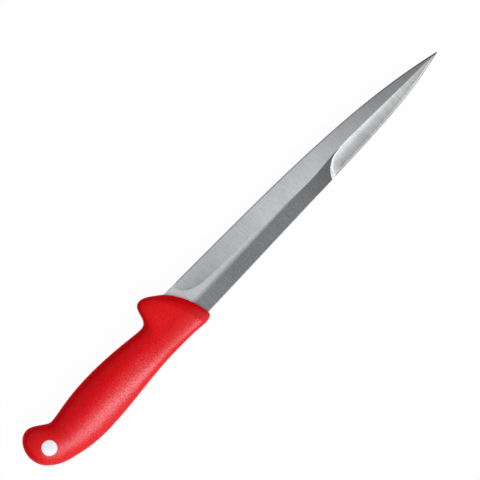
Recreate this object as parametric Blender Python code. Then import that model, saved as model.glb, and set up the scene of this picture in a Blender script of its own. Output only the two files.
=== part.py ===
"""Sticking knife: a ground steel blade with a hidden tang, a moulded handle and a butt plug.

Lengths are in metres. The knife is drawn flat. x runs along the straight back towards the
point, y towards the cutting edge, and z is square to the blade. z = 0 is the blade's middle
plane, and x = 0 is where the back leaves the handle. The last step lays the drawn knife on
its flank, with the middle of its bounding box's base at the world's origin.
"""
import math

import bmesh
import bpy
from mathutils import Matrix, Vector

MM = 0.001

# Blade, seen from the side
BLADE_LENGTH = 205.5 * MM        # from the handle to where edge and ground back would meet
HEEL_HEIGHT = 26.1 * MM          # from back to edge, where the back leaves the handle
POINT_HEIGHT = 6.5 * MM          # the point's distance from the line of the back
EDGE_HEEL_ANGLE = 1.9            # degrees between edge and back at the heel
EDGE_POINT_ANGLE = 15.0          # degrees between edge and back at the point
BACK_POINT_ANGLE = 12.9          # degrees between the ground back and the straight back
EDGE_HEEL_PULL = 89.4 * MM       # how far the edge holds on to its heel angle
EDGE_POINT_PULL = 59.3 * MM      # how far the edge holds on to its point angle
BACK_START_PULL = 52.2 * MM      # how far the ground back holds on to the line of the back
BACK_POINT_PULL = 25.0 * MM      # how far the ground back holds on to its point angle
POINT_BLUNTING = 0.3 * MM        # what the point loses along each of the two

# Blade, in section
STOCK = 2.5 * MM                 # thickness of the steel sheet
POINT_TAPER = 0.02               # degrees by which each side leans in towards the point
POINT_TAPER_START = 1.0 * MM     # from here on, just in front of the handle
FLAT_BAND = 10.5 * MM            # height of the flat band along the back, at the handle
BAND_NARROWING = 0.46            # degrees by which the flat band narrows towards the point
ROOT_TAPER = 1.75                # degrees by which each side leans in above the flat band
GRIND_WIDTH = 13.1 * MM          # ground face, from the edge to the full thickness
SWEDGE_WIDTH = 12.9 * MM         # ground back, from its edge to the full thickness
SWEDGE_LENGTH = 98.1 * MM        # ground back, from the point to its start
EDGE_BEVEL = 0.7 * MM            # width of the sharpening bevel on the edge
BACK_BEVEL = 0.9 * MM            # width of the sharpening bevel on the ground back
BEVEL_THICKNESS = 0.5 * MM       # thickness where a sharpening bevel meets the ground face
BEVEL_DELAY = 3.0 * MM           # a sharpening bevel starts this far past its ground face
EDGE_LAND = 0.1 * MM             # thickness left at the sharp edges

# The curved ends of the ground faces
PLUNGE_WALL_ANGLE = 28.5         # degrees, wall between a ground face and the sheet
HEEL_PLUNGE_SETBACK = 4.9 * MM   # the heel plunge meets the edge this far behind x = 0
HEEL_PLUNGE_RUN = 17.5 * MM      # from there to where it runs out into the ridge
SWEDGE_PLUNGE_RUN = 13.8 * MM    # from the back to where it runs out into the ridge
SWEDGE_PLUNGE_RISE = 10.3 * MM

# Tang
TANG_HEIGHT = 10.5 * MM          # the tang's middle line above the line of the back
TANG_ROOT_WIDTH = 14.0 * MM
TANG_END_WIDTH = 10.0 * MM
TANG_END_GAP = 14.0 * MM         # from the tang's end to the middle of the plug
HEEL_COVER = 4.0 * MM            # how far the heel reaches into the handle at the edge
STEP_RUN = 8.0 * MM              # length of the step from heel to tang
ROOT_CORNER = 4.0 * MM
TANG_END_CORNER = 4.0 * MM
KEYING_HOLE = 6.0 * MM           # diameter of each keying hole
KEYING_HOLES = 3

# Handle, seen from the side: setbacks are from x = 0, heights and drops from the back
HANDLE_LENGTH = 134.9 * MM
LIP_REACH = 0.4 * MM             # the lip under the back passes x = 0
LIP_DROP = 0.9 * MM
MOUTH_SETBACK = 10.7 * MM        # where the handle's front meets the edge
MOUTH_COVER = 0.8 * MM           # height of that corner above the heel
MOUTH_BULGE = 2.45 * MM          # how far the front curves out between lip and corner
GUARD_SETBACK = 22.9 * MM
GUARD_COVER = 8.2 * MM           # height of the guard above the heel
GUARD_FOOT_SETBACK = 13.0 * MM
GUARD_FOOT_DROP = 2.4 * MM
WAIST_SETBACK = 34.5 * MM
WAIST_HEIGHT = 22.2 * MM
WAIST_DROP = 1.75 * MM
BELLY_FROM_END = 56.0 * MM       # widest place of the grip on the edge side
BELLY_HEIGHT = 26.2 * MM
BELLY_LOW_FROM_END = 47.0 * MM   # lowest place of the grip on the back side
BELLY_DROP = 4.55 * MM
NECK_FROM_END = 24.6 * MM
NECK_HEIGHT = 23.55 * MM
NECK_DROP = 2.1 * MM
BEAK_FROM_END = 10.5 * MM
BEAK_HEIGHT = 30.8 * MM
BEAK_FOOT_HEIGHT = 2.5 * MM      # the back side rises to this height across from the beak
END_HEIGHT = 17.7 * MM

# Handle, in section
MOUTH_THICKNESS = 8.0 * MM
GUARD_THICKNESS = 23.0 * MM
WAIST_THICKNESS = 21.0 * MM
BELLY_THICKNESS = 23.0 * MM
NECK_THICKNESS = 21.6 * MM
BUTT_THICKNESS = 22.0 * MM
FRONT_ROUNDING = 6.0 * MM        # length over which the front swells to the flank
FRONT_SQUARENESS = 1.4           # 1 makes a straight slope of the swelling, 2 an ellipse
END_ROUNDING = 9.0 * MM          # length over which the butt closes
END_SQUARENESS = 2.4             # 2 closes it in an ellipse, more is blunter

# Plug
PLUG_DIAMETER = 9.6 * MM
PLUG_FROM_END = 12.7 * MM
PLUG_HEIGHT = 13.7 * MM          # above the line of the back

# Gap between pieces that touch
CLEARANCE = 0.3 * MM

# Fineness of the curved shapes
EDGE_STEPS = 20
BACK_STEPS = 12
PLUNGE_STEPS = 8
CORNER_STEPS = 5
FOOT_TRIALS = 20                 # rounds in which the foot of a plunge wall is found
RING_SEGMENTS = 34               # not a multiple of 4, so that each flank ends in a narrow flat
STRETCH_STEPS = 9                # rings between two stations of the handle
ROUND_SEGMENTS = 40
SHARP_ANGLE = 40.0               # degrees from which an edge of the handle shows as a crease

# Points of one mesh that lie closer than this are one point
MERGE = 0.001 * MM
WELD = 0.02 * MM                 # the same after all cuts

# How far cutters and guide lines reach past what they cut
OVER = 3.0 * MM
FAR = 12.0 * MM

HALF_STOCK = STOCK / 2
POINT = Vector((BLADE_LENGTH, POINT_HEIGHT))
HANDLE_END = -HANDLE_LENGTH
PLUG_X = HANDLE_END + PLUG_FROM_END
TANG_END = PLUG_X + TANG_END_GAP
HEEL_X = -MOUTH_SETBACK - HEEL_COVER


def heading(degrees):
    """Unit vector in the side view: 0 degrees points along +x and 90 along +y."""
    return Vector((math.cos(math.radians(degrees)), math.sin(math.radians(degrees))))


def on_bezier(start, start_pull, end_pull, end, share):
    """The point on a cubic curve at a share of its way."""
    rest = 1 - share
    return (start * rest ** 3 + start_pull * (3 * rest ** 2 * share)
            + end_pull * (3 * rest * share ** 2) + end * share ** 3)


def bezier(start, start_pull, end_pull, end, steps):
    """Evenly stepped points on a cubic curve, its last point left out."""
    return [on_bezier(start, start_pull, end_pull, end, step / steps) for step in range(steps)]


def edge_line():
    """The cutting edge, from its hidden corner in the handle to the point."""
    heel = Vector((0, HEEL_HEIGHT))
    along = heading(-EDGE_HEEL_ANGLE)
    corner = heel + along * (HEEL_X / along.x)
    heel_pull = heel + along * EDGE_HEEL_PULL
    point_pull = POINT - heading(-EDGE_POINT_ANGLE) * EDGE_POINT_PULL
    return [corner] + bezier(heel, heel_pull, point_pull, POINT, EDGE_STEPS) + [POINT]


def back_line():
    """The ground back, from its start on the straight back to the point."""
    start = Vector((BLADE_LENGTH - SWEDGE_LENGTH, 0))
    start_pull = start + Vector((BACK_START_PULL, 0))
    point_pull = POINT - heading(BACK_POINT_ANGLE) * BACK_POINT_PULL
    return bezier(start, start_pull, point_pull, POINT, BACK_STEPS) + [POINT]


def stretched(line):
    """The line with a straight run added past each end."""
    before = (line[0] - line[1]).normalized() * FAR
    after = (line[-1] - line[-2]).normalized() * FAR
    return [line[0] + before] + line + [line[-1] + after]


def nearest_on(line, place):
    """The nearest point of a line to a place, and the line's direction there."""
    best = None
    for start, end in zip(line, line[1:]):
        span = end - start
        share = min(max((place - start).dot(span) / span.length_squared, 0), 1)
        foot = start + span * share
        if best is None or (place - foot).length < (place - best[0]).length:
            best = (foot, span.normalized())
    return best


def left_of(direction):
    return Vector((-direction.y, direction.x))


def rounded(corners):
    """Outline points from (x, y, radius) corners, each turned by an arc of its radius."""
    outline = []
    for index, (x, y, radius) in enumerate(corners):
        here = Vector((x, y))
        if radius == 0:
            outline.append(here)
            continue
        to_last = (Vector(corners[index - 1][:2]) - here).normalized()
        to_next = (Vector(corners[(index + 1) % len(corners)][:2]) - here).normalized()
        half = to_last.angle(to_next) / 2
        middle = here + (to_last + to_next).normalized() * (radius / math.sin(half))
        first = here + to_last * (radius / math.tan(half)) - middle
        last = here + to_next * (radius / math.tan(half)) - middle
        sweep = first.angle_signed(last)
        for step in range(CORNER_STEPS + 1):
            outline.append(middle + Matrix.Rotation(-sweep * step / CORNER_STEPS, 2) @ first)
    return outline


def root_outline(gap, front):
    """Outline of the blade's root and tang, grown by a gap and cut off at x = front.

    It starts at the heel's corner, runs round the tang and ends on the edge at x = front.
    """
    heel = edge_line()[0]
    step_x = heel.x - STEP_RUN
    return rounded([
        (heel.x - gap, heel.y + gap, ROOT_CORNER / 2),
        (step_x - gap, TANG_HEIGHT + TANG_ROOT_WIDTH / 2 + gap, ROOT_CORNER),
        (TANG_END - gap, TANG_HEIGHT + TANG_END_WIDTH / 2 + gap, TANG_END_CORNER + gap),
        (TANG_END - gap, TANG_HEIGHT - TANG_END_WIDTH / 2 - gap, TANG_END_CORNER + gap),
        (step_x - gap, TANG_HEIGHT - TANG_ROOT_WIDTH / 2 - gap, ROOT_CORNER),
        (heel.x - gap, -gap, ROOT_CORNER),
        (front, -gap, 0),
        (front, HEEL_HEIGHT - front * math.tan(math.radians(EDGE_HEEL_ANGLE)) + gap, 0),
    ])


def keying_places():
    """Centres of the keying holes, spread evenly along the tang."""
    start = HEEL_X - STEP_RUN
    pitch = (TANG_END - start) / KEYING_HOLES
    return [(start + pitch * (index + 0.5), TANG_HEIGHT) for index in range(KEYING_HOLES)]


def collection(name):
    made = bpy.data.collections.new(name)
    bpy.context.scene.collection.children.link(made)
    return made


def cutter_object(name, mesh, place=(0, 0)):
    cutter = bpy.data.objects.new(name, mesh)
    cutter.location = (*place, 0)
    cutter.hide_render = True
    cutter.display_type = "WIRE"
    cutter.parent = DATUM
    CUTTERS.objects.link(cutter)
    return cutter


def material(name, colour, roughness, metallic):
    made = bpy.data.materials.new(name)
    made.use_nodes = True
    shader = made.node_tree.nodes["Principled BSDF"]
    shader.inputs["Base Color"].default_value = (*colour, 1)
    shader.inputs["Roughness"].default_value = roughness
    shader.inputs["Metallic"].default_value = metallic
    return made


def part_object(name, mesh, finish, place=(0, 0)):
    part = bpy.data.objects.new(name, mesh)
    part.location = (*place, 0)
    part.data.materials.append(finish)
    part.parent = DATUM
    PARTS.objects.link(part)
    return part


def cut(target, cutter, operation="DIFFERENCE"):
    modifier = target.modifiers.new(cutter.name, "BOOLEAN")
    modifier.operation = operation
    modifier.solver = "EXACT"
    modifier.object = cutter


def weld(target):
    """Joins the points that the cuts left almost on top of each other."""
    modifier = target.modifiers.new("weld", "WELD")
    modifier.merge_threshold = WELD


def sheet_mesh(name, outline, half_thickness):
    """A flat outline extruded to a sheet on both sides of z = 0."""
    shape = bmesh.new()
    corners = [shape.verts.new((place.x, place.y, -half_thickness)) for place in outline]
    bottom = shape.faces.new(corners)
    raised = bmesh.ops.extrude_face_region(shape, geom=[bottom])["geom"]
    top = [item for item in raised if isinstance(item, bmesh.types.BMVert)]
    bmesh.ops.translate(shape, verts=top, vec=(0, 0, 2 * half_thickness))
    bmesh.ops.recalc_face_normals(shape, faces=shape.faces)
    mesh = bpy.data.meshes.new(name)
    shape.to_mesh(mesh)
    shape.free()
    return mesh


def lean_towards_point(mesh):
    """Lets each side of the sheet lean in towards the point, from just in front of the handle."""
    lean = math.tan(math.radians(POINT_TAPER))
    shape = bmesh.new()
    shape.from_mesh(mesh)
    bmesh.ops.bisect_plane(shape, geom=shape.verts[:] + shape.edges[:] + shape.faces[:],
                           dist=MERGE, plane_co=(POINT_TAPER_START, 0, 0), plane_no=(1, 0, 0))
    for vertex in shape.verts:
        drop = max(vertex.co.x - POINT_TAPER_START, 0) * lean
        vertex.co.z -= math.copysign(drop, vertex.co.z)
    shape.to_mesh(mesh)
    shape.free()


def cylinder_mesh(name, diameter, depth):
    """An upright cylinder around its own middle."""
    shape = bmesh.new()
    bmesh.ops.create_cone(shape, cap_ends=True, segments=ROUND_SEGMENTS, radius1=diameter / 2,
                          radius2=diameter / 2, depth=depth)
    mesh = bpy.data.meshes.new(name)
    shape.to_mesh(mesh)
    shape.free()
    return mesh


def loft(name, rings, cap_ends):
    """A closed surface through rings of points; a ring may shrink to one place."""
    shape = bmesh.new()
    rows = [[shape.verts.new(place) for place in ring] for ring in rings]
    for row, after in zip(rows, rows[1:]):
        for index in range(len(row)):
            follow = (index + 1) % len(row)
            shape.faces.new((row[index], row[follow], after[follow], after[index]))
    for row in cap_ends:
        cap_ring(shape, rows[row])
    bmesh.ops.remove_doubles(shape, verts=shape.verts, dist=MERGE)
    bmesh.ops.triangulate(shape, faces=shape.faces)
    bmesh.ops.recalc_face_normals(shape, faces=shape.faces)
    mesh = bpy.data.meshes.new(name)
    shape.to_mesh(mesh)
    shape.free()
    return mesh


def cap_ring(shape, row):
    """Closes a ring with strips between its upper and its lower half."""
    for index in range(len(row) // 2):
        strip = (row[index], row[index + 1], row[-index - 1], row[-index])
        shape.faces.new(tuple(dict.fromkeys(strip)))


def grind(target, name, crease, edge, inward, slope, low):
    """Grinds a face with a wall at its end on each side of the blade.

    crease is where the wall at the ground face's end would meet the flat of the sheet. edge
    is the sharp line that the face runs to, and inward is 1 where the blade lies to the
    left of that line and -1 where it lies to the right. The ground face has the half
    thickness low at the edge and rises from there by slope.
    """
    wall = math.tan(math.radians(PLUNGE_WALL_ANGLE))
    top = HALF_STOCK + OVER
    rings = []
    for index, place in enumerate(crease):
        ahead = crease[min(index + 1, len(crease) - 1)] - crease[max(index - 1, 0)]
        into_face = left_of(ahead).normalized() * -inward
        step = 0.0
        for _ in range(FOOT_TRIALS):
            foot = place + into_face * step
            on_edge, along = nearest_on(edge, foot)
            square = left_of(along) * inward
            height = low + slope * (foot - on_edge).dot(square)
            step = (HALF_STOCK - height) / wall
        lip = place - into_face * (OVER / wall)
        outside = on_edge - square * FAR
        rings.append([
            (lip.x, lip.y, top),
            (foot.x, foot.y, height),
            (outside.x, outside.y, low - slope * FAR),
            (outside.x, outside.y, top),
        ])
    cut_both_sides(target, name, rings)


def cut_both_sides(target, name, rings):
    """Cuts the form through the rings off the upper side, and its mirror image off the lower."""
    for side, up in (("upper", 1), ("lower", -1)):
        placed = [[(x, y, z * up) for x, y, z in ring] for ring in rings]
        side_name = f"{name}_{side}"
        cut(target, cutter_object(side_name, loft(side_name, placed, (0, -1))))


def band_height(x):
    """Height of the flat band's upper border above the back."""
    return FLAT_BAND - x * math.tan(math.radians(BAND_NARROWING))


def taper(target, name, lift):
    """Lets each side lean in from the flat band to the edge."""
    lean = math.tan(math.radians(ROOT_TAPER))
    top = HALF_STOCK + lift + OVER
    high = HEEL_HEIGHT + FAR
    rings = []
    for x in (TANG_END - OVER, BLADE_LENGTH + OVER):
        border = band_height(x)
        rings.append([
            (x, border - OVER, top),
            (x, border - OVER, HALF_STOCK + lift + OVER * lean),
            (x, high, HALF_STOCK + lift - (high - border) * lean),
            (x, high, top),
        ])
    cut_both_sides(target, name, rings)


def face_slope(width, bevel):
    """Rise of a ground face, from the top of its sharpening bevel to the full thickness."""
    return (STOCK - BEVEL_THICKNESS) / 2 / (width - bevel)


def bevel_slope(bevel):
    """Rise of a sharpening bevel, from the sharp edge to the ground face."""
    return (BEVEL_THICKNESS - EDGE_LAND) / 2 / bevel


def ridge_height(x):
    """Height above the back where the main ground face meets the leaning side."""
    slope = face_slope(GRIND_WIDTH, EDGE_BEVEL)
    lean = math.tan(math.radians(ROOT_TAPER))
    edge = HEEL_HEIGHT - x * math.tan(math.radians(EDGE_HEEL_ANGLE))
    return (slope * (edge - GRIND_WIDTH) - lean * band_height(x)) / (slope - lean)


def plunge_line(knots, past_point):
    """The curved end of a ground face, from beyond its sharp edge to beyond the point."""
    curve = [between_knots(knots, 0, step / PLUNGE_STEPS) for step in range(1, PLUNGE_STEPS + 1)]
    x, y, turn = knots[0][:3]
    before = Vector((x, y)) - heading(turn) * OVER
    run = [curve[-1].lerp(past_point, step / BACK_STEPS) for step in range(1, BACK_STEPS + 1)]
    return [before] + curve + run


def heel_plunge():
    """The heel end of the main ground face, from the edge down to the ridge."""
    end_x = HEEL_PLUNGE_RUN - HEEL_PLUNGE_SETBACK
    knots = [
        (-HEEL_PLUNGE_SETBACK, HEEL_HEIGHT, -77, 0, 0.29),
        (end_x, ridge_height(end_x), -5, 0.47, 0),
    ]
    return plunge_line(knots, Vector((BLADE_LENGTH + FAR, -FAR)))


def swedge_plunge():
    """The start of the ground back, from the back up to the ridge."""
    start_x = BLADE_LENGTH - SWEDGE_LENGTH
    knots = [
        (start_x, 0, 54, 0, 0.33),
        (start_x + SWEDGE_PLUNGE_RUN, SWEDGE_PLUNGE_RISE, 10, 0.35, 0),
    ]
    return plunge_line(knots, Vector((BLADE_LENGTH + FAR, HEEL_HEIGHT)))


def bevel_crease(edge, inward, start_x, distance):
    """A line that follows the edge at a distance inside it, from start_x to the point."""
    kept = [place for place in edge if place.x > start_x]
    first, along = nearest_on(edge, Vector((start_x, kept[0].y)))
    crease = [first + left_of(along) * inward * distance]
    for place, after in zip(kept, kept[1:]):
        inside = left_of((after - place).normalized()) * inward * distance
        crease.append((place + after) / 2 + inside)
    return crease


def make_blade(finish):
    """The sheet with its tang, ground on both sides."""
    edge = edge_line()
    back = back_line()
    blunt = [POINT - heading(BACK_POINT_ANGLE) * POINT_BLUNTING,
             POINT - heading(-EDGE_POINT_ANGLE) * POINT_BLUNTING]
    outline = root_outline(0, POINT_TAPER_START)[:-1] + back[:-1] + blunt + edge[-2:0:-1]
    sheet = sheet_mesh("blade", outline, HALF_STOCK)
    lean_towards_point(sheet)
    blade = part_object("blade", sheet, finish)
    taper(blade, "root_taper", 0)
    edge_rail = stretched(edge)
    back_rail = stretched(back)
    slope = face_slope(GRIND_WIDTH, EDGE_BEVEL)
    grind(blade, "main_grind", heel_plunge(), edge_rail, -1, slope,
          BEVEL_THICKNESS / 2 - EDGE_BEVEL * slope)
    slope = face_slope(SWEDGE_WIDTH, BACK_BEVEL)
    grind(blade, "back_grind", swedge_plunge(), back_rail, 1, slope,
          BEVEL_THICKNESS / 2 - BACK_BEVEL * slope)
    start_x = BEVEL_DELAY - HEEL_PLUNGE_SETBACK
    edge_crease = bevel_crease(edge_rail, -1, start_x, GRIND_WIDTH / 2)
    grind(blade, "edge_bevel", edge_crease, edge_rail, -1, bevel_slope(EDGE_BEVEL), EDGE_LAND / 2)
    start_x = BLADE_LENGTH - SWEDGE_LENGTH + BEVEL_DELAY
    back_crease = bevel_crease(back_rail, 1, start_x, SWEDGE_WIDTH / 2)
    grind(blade, "back_bevel", back_crease, back_rail, 1, bevel_slope(BACK_BEVEL), EDGE_LAND / 2)
    for index, place in enumerate(keying_places()):
        name = f"keying_hole_{index + 1}"
        cut(blade, cutter_object(name, cylinder_mesh(name, KEYING_HOLE, STOCK + OVER), place))
    weld(blade)
    return blade


def edge_side_knots():
    """The handle's outline on the edge side, from its front to its end.

    Each knot has its x and y, the outline's heading in degrees, and the shares of the way
    to the last and to the next knot over which the outline holds on to that heading.
    """
    return [
        (-MOUTH_SETBACK, HEEL_HEIGHT + MOUTH_COVER, 142, 0, 0.42),
        (-GUARD_SETBACK, HEEL_HEIGHT + GUARD_COVER, 180, 0.26, 0.45),
        (-WAIST_SETBACK, WAIST_HEIGHT, 180, 0.48, 0.11),
        (HANDLE_END + BELLY_FROM_END, BELLY_HEIGHT, 180, 0.495, 0.54),
        (HANDLE_END + NECK_FROM_END, NECK_HEIGHT, 180, 0.175, 0.23),
        (HANDLE_END + BEAK_FROM_END, BEAK_HEIGHT, 180, 0.35, 0.385),
        (HANDLE_END, END_HEIGHT, 270, 0.34, 0),
    ]


def back_side_knots():
    """The handle's outline on the back side, with knots like those of the edge side."""
    return [
        (LIP_REACH, -LIP_DROP, -117, 0, 0.29),
        (-GUARD_FOOT_SETBACK, -GUARD_FOOT_DROP, 175, 0.445, 0.28),
        (-WAIST_SETBACK, -WAIST_DROP, 180, 0.325, 0.3),
        (HANDLE_END + BELLY_LOW_FROM_END, -BELLY_DROP, 180, 0.335, 0.355),
        (HANDLE_END + NECK_FROM_END, -NECK_DROP, 165, 0.31, 0.33),
        (HANDLE_END + BEAK_FROM_END, BEAK_FOOT_HEIGHT, 150, 0.295, 0.4),
        (HANDLE_END, END_HEIGHT, 90, 0.39, 0),
    ]


def section_values():
    """Thickness, squareness on the edge side and on the back side, and bulge at each knot.

    A section is elliptic where its squareness is 2, and flatter with a tighter rim above.
    Guard and belly are equally thick, so the knife lies level on the two.
    """
    return [
        (GUARD_THICKNESS, 2.5, 3.5, MOUTH_BULGE),
        (GUARD_THICKNESS, 2.9, 4.0, MOUTH_BULGE / 2),
        (WAIST_THICKNESS, 2.4, 2.8, 0),
        (BELLY_THICKNESS, 2.0, 2.0, 0),
        (NECK_THICKNESS, 2.0, 2.0, 0),
        (BUTT_THICKNESS, 2.4, 2.2, 0),
        (BUTT_THICKNESS, 2.4, 2.4, 0),
    ]


def between_knots(knots, index, share):
    """The outline's point at a share of the way from one knot to the next."""
    x, y, turn, _, hold = knots[index]
    next_x, next_y, next_turn, next_hold, _ = knots[index + 1]
    start = Vector((x, y))
    end = Vector((next_x, next_y))
    way = (end - start).length
    return on_bezier(start, start + heading(turn) * hold * way,
                     end - heading(next_turn) * next_hold * way, end, share)


def swell(distance, length, squareness):
    """From 0 at a rounded end to 1 at the length over which it is rounded."""
    near = min(max(1 - distance / length, 0), 1)
    return (1 - near ** squareness) ** (1 / squareness)


def stretch_shares(index):
    """Where rings stand between two knots; they crowd at the rounded front."""
    shares = [step / STRETCH_STEPS for step in range(STRETCH_STEPS)]
    if index == 0:
        return [1 - math.cos(share * math.pi / 2) for share in shares]
    return shares


def section_ring(edge_place, back_place, thickness, squareness, bulge):
    """One closed section of the handle, from the back side over the top and round below."""
    middle = (edge_place + back_place) / 2
    half = (edge_place - back_place) / 2
    forward = -left_of(half).normalized()
    highest = math.cos(math.pi / RING_SEGMENTS)
    ring = []
    for index in range(RING_SEGMENTS):
        turn = 2 * math.pi * index / RING_SEGMENTS
        across = -math.cos(turn)
        up = math.sin(turn) / highest
        power = 2 / squareness[across < 0]
        across = math.copysign(abs(across) ** power, across)
        up = math.copysign(abs(up) ** power, up)
        place = middle + half * across + forward * (bulge * (1 - across ** 2))
        ring.append((place.x, place.y, up * thickness / 2))
    return ring


def handle_mesh(name):
    """The handle's outer form, closed at the front and drawn together at its end."""
    edge_side = edge_side_knots()
    back_side = back_side_knots()
    values = section_values()
    front = (between_knots(edge_side, 0, 0) + between_knots(back_side, 0, 0)) / 2
    steps = [(index, share) for index in range(len(values) - 1) for share in stretch_shares(index)]
    rings = []
    for index, share in steps + [(len(values) - 2, 1)]:
        ease = share * share * (3 - 2 * share)
        thickness, edge_square, back_square, bulge = (
            here + (there - here) * ease for here, there in zip(values[index], values[index + 1]))
        edge_place = between_knots(edge_side, index, share)
        back_place = between_knots(back_side, index, share)
        middle = (edge_place + back_place) / 2
        swelling = swell((middle - front).length, FRONT_ROUNDING, FRONT_SQUARENESS)
        thickness = MOUTH_THICKNESS + (thickness - MOUTH_THICKNESS) * swelling
        thickness *= swell(middle.x - HANDLE_END, END_ROUNDING, END_SQUARENESS)
        rings.append(section_ring(edge_place, back_place, thickness, (edge_square, back_square), bulge))
    mesh = loft(name, rings, (0,))
    mesh.shade_smooth()
    mesh.set_sharp_from_angle(angle=math.radians(SHARP_ANGLE))
    return mesh


def tang_cavity():
    """The space in the handle round the blade's root, with the pegs through its holes left."""
    outline = root_outline(CLEARANCE, OVER)
    cavity = cutter_object("tang_cavity", sheet_mesh("tang_cavity", outline, HALF_STOCK + CLEARANCE))
    taper(cavity, "cavity_taper", CLEARANCE)
    for index, place in enumerate(keying_places()):
        name = f"keying_peg_{index + 1}"
        peg = cylinder_mesh(name, KEYING_HOLE - 2 * CLEARANCE, STOCK + OVER)
        cut(cavity, cutter_object(name, peg, place))
    return cavity


def make_handle(finish):
    """The moulding, with the space for the tang and the bore for the plug."""
    handle = part_object("handle", handle_mesh("handle"), finish)
    cut(handle, tang_cavity())
    bore = cylinder_mesh("plug_bore", PLUG_DIAMETER + 2 * CLEARANCE, BUTT_THICKNESS + OVER)
    cut(handle, cutter_object("plug_bore", bore, (PLUG_X, PLUG_HEIGHT)))
    weld(handle)
    return handle


def make_plug(finish):
    """The plug, whose ends follow the flanks of the butt."""
    mesh = cylinder_mesh("butt_plug", PLUG_DIAMETER, BUTT_THICKNESS + OVER)
    plug = part_object("butt_plug", mesh, finish, (PLUG_X, PLUG_HEIGHT))
    cut(plug, cutter_object("handle_form", handle_mesh("handle_form")), "INTERSECT")
    weld(plug)
    return plug


def lay_down(parts):
    """Moves the knife so that the middle of its bounding box's base is at the origin."""
    bpy.context.view_layer.update()
    depsgraph = bpy.context.evaluated_depsgraph_get()
    places = []
    for part in parts:
        shaped = part.evaluated_get(depsgraph)
        places += [shaped.matrix_world @ vertex.co for vertex in shaped.data.vertices]
    low = Vector(min(axis) for axis in zip(*places))
    high = Vector(max(axis) for axis in zip(*places))
    DATUM.location = (-(low.x + high.x) / 2, -(low.y + high.y) / 2, -low.z)


for leftover in list(bpy.data.objects):
    bpy.data.objects.remove(leftover)
DATUM = bpy.data.objects.new("knife_datum", None)
bpy.context.scene.collection.objects.link(DATUM)
PARTS = collection("sticking_knife")
CUTTERS = collection("cutters")

STEEL = material("satin_steel", (0.42, 0.43, 0.44), 0.35, 1.0)
RED_PLASTIC = material("red_plastic", (0.63, 0.012, 0.018), 0.42, 0.0)
WHITE_PLASTIC = material("white_plastic", (0.82, 0.84, 0.87), 0.4, 0.0)

lay_down([make_blade(STEEL), make_handle(RED_PLASTIC), make_plug(WHITE_PLASTIC)])
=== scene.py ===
"""Sticking knife: the finished look of blade, handle and butt plug, and a plain white stage.

Lengths are in metres. Like the solids it dresses, the knife is drawn flat: x runs along the
straight back towards the point, y towards the cutting edge, and z is square to the blade.
x = 0 is where the back leaves the handle, and z = 0 is the blade's middle plane. DATUM
carries the drawn knife to where the solids lie.
"""
import math

import bmesh
import bpy
import numpy as np
from bpy.props import FloatProperty, FloatVectorProperty, PointerProperty
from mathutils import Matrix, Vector
from mathutils.bvhtree import BVHTree


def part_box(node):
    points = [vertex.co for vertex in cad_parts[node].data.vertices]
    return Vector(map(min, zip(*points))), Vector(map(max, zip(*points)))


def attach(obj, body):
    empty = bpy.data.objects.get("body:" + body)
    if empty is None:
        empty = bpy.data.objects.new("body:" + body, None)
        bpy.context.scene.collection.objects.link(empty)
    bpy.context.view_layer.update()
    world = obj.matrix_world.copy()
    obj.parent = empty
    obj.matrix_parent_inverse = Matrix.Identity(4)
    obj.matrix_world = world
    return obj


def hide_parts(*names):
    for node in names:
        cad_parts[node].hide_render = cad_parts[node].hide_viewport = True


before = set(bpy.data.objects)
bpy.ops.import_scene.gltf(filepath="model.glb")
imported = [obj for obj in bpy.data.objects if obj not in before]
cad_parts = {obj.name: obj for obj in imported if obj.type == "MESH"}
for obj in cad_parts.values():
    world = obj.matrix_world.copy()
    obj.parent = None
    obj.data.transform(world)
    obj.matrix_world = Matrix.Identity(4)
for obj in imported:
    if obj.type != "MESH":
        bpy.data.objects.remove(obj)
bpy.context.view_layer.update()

bl_info = {
    "name": "Sticking Knife",
    "version": (1, 0, 0),
    "blender": (4, 5, 0),
    "location": "3D View > Sidebar > Knife",
    "description": "A sticking knife with a ground blade, a moulded handle and a butt plug",
    "category": "Add Mesh",
}

MM = 0.001
HANDLE_LENGTH = 134.9 * MM
HEEL_HEIGHT = 26.1 * MM          # from back to edge, where the back leaves the handle
GUARD_HEIGHT = 34.3 * MM
DATUM = Vector((
    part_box("handle")[0].x + HANDLE_LENGTH,
    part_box("handle")[1].y - GUARD_HEIGHT,
    (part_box("handle")[0].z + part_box("handle")[1].z) / 2,
))
HANDLE_END = -HANDLE_LENGTH
PLUG_X = HANDLE_END + 12.7 * MM
PLUG_Y = 13.7 * MM

# Blade, seen from the side. A curve's pulls are the lengths over which it holds on to its
# headings at its start and at its end.
BLADE_LENGTH = 205.5 * MM
POINT = (BLADE_LENGTH, 6.5 * MM)
EDGE_HEEL_ANGLE = 1.9            # degrees between edge and back at the handle
EDGE_POINT_ANGLE = 15.0          # degrees between edge and back's line at the point
EDGE_PULLS = (89.4 * MM, 59.3 * MM)
BACK_POINT_ANGLE = 12.9          # degrees by which the ground back rises at the point
BACK_PULLS = (52.2 * MM, 25.0 * MM)
HIDDEN_REACH = 20 * MM           # how far edge and back run on inside the handle
OUTLINE_STEPS = 300
BAND_HEIGHT = 10.5 * MM          # from the back to the flat band's other border, at the handle
BAND_NARROWING = 0.46            # degrees
SWEDGE_START = BLADE_LENGTH - 98.1 * MM
HEEL_PLUNGE_START = -4.9 * MM
HEEL_PLUNGE_END = 12.6 * MM
SWEDGE_PLUNGE_LENGTH = 15.5 * MM
SWEDGE_PLUNGE_HEIGHT = 9.75 * MM
PLUNGE_STEPS = 40
HEEL_X = -14.7 * MM              # hidden corner of the blade's root
TANG_ROOT_X = HEEL_X - 8 * MM
TANG_ROOT_WIDTH = 14 * MM
TANG_END = PLUG_X + 14 * MM
TANG_END_WIDTH = 10 * MM
TANG_MIDDLE = 10.5 * MM
TANG_STEPS = 12
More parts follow.
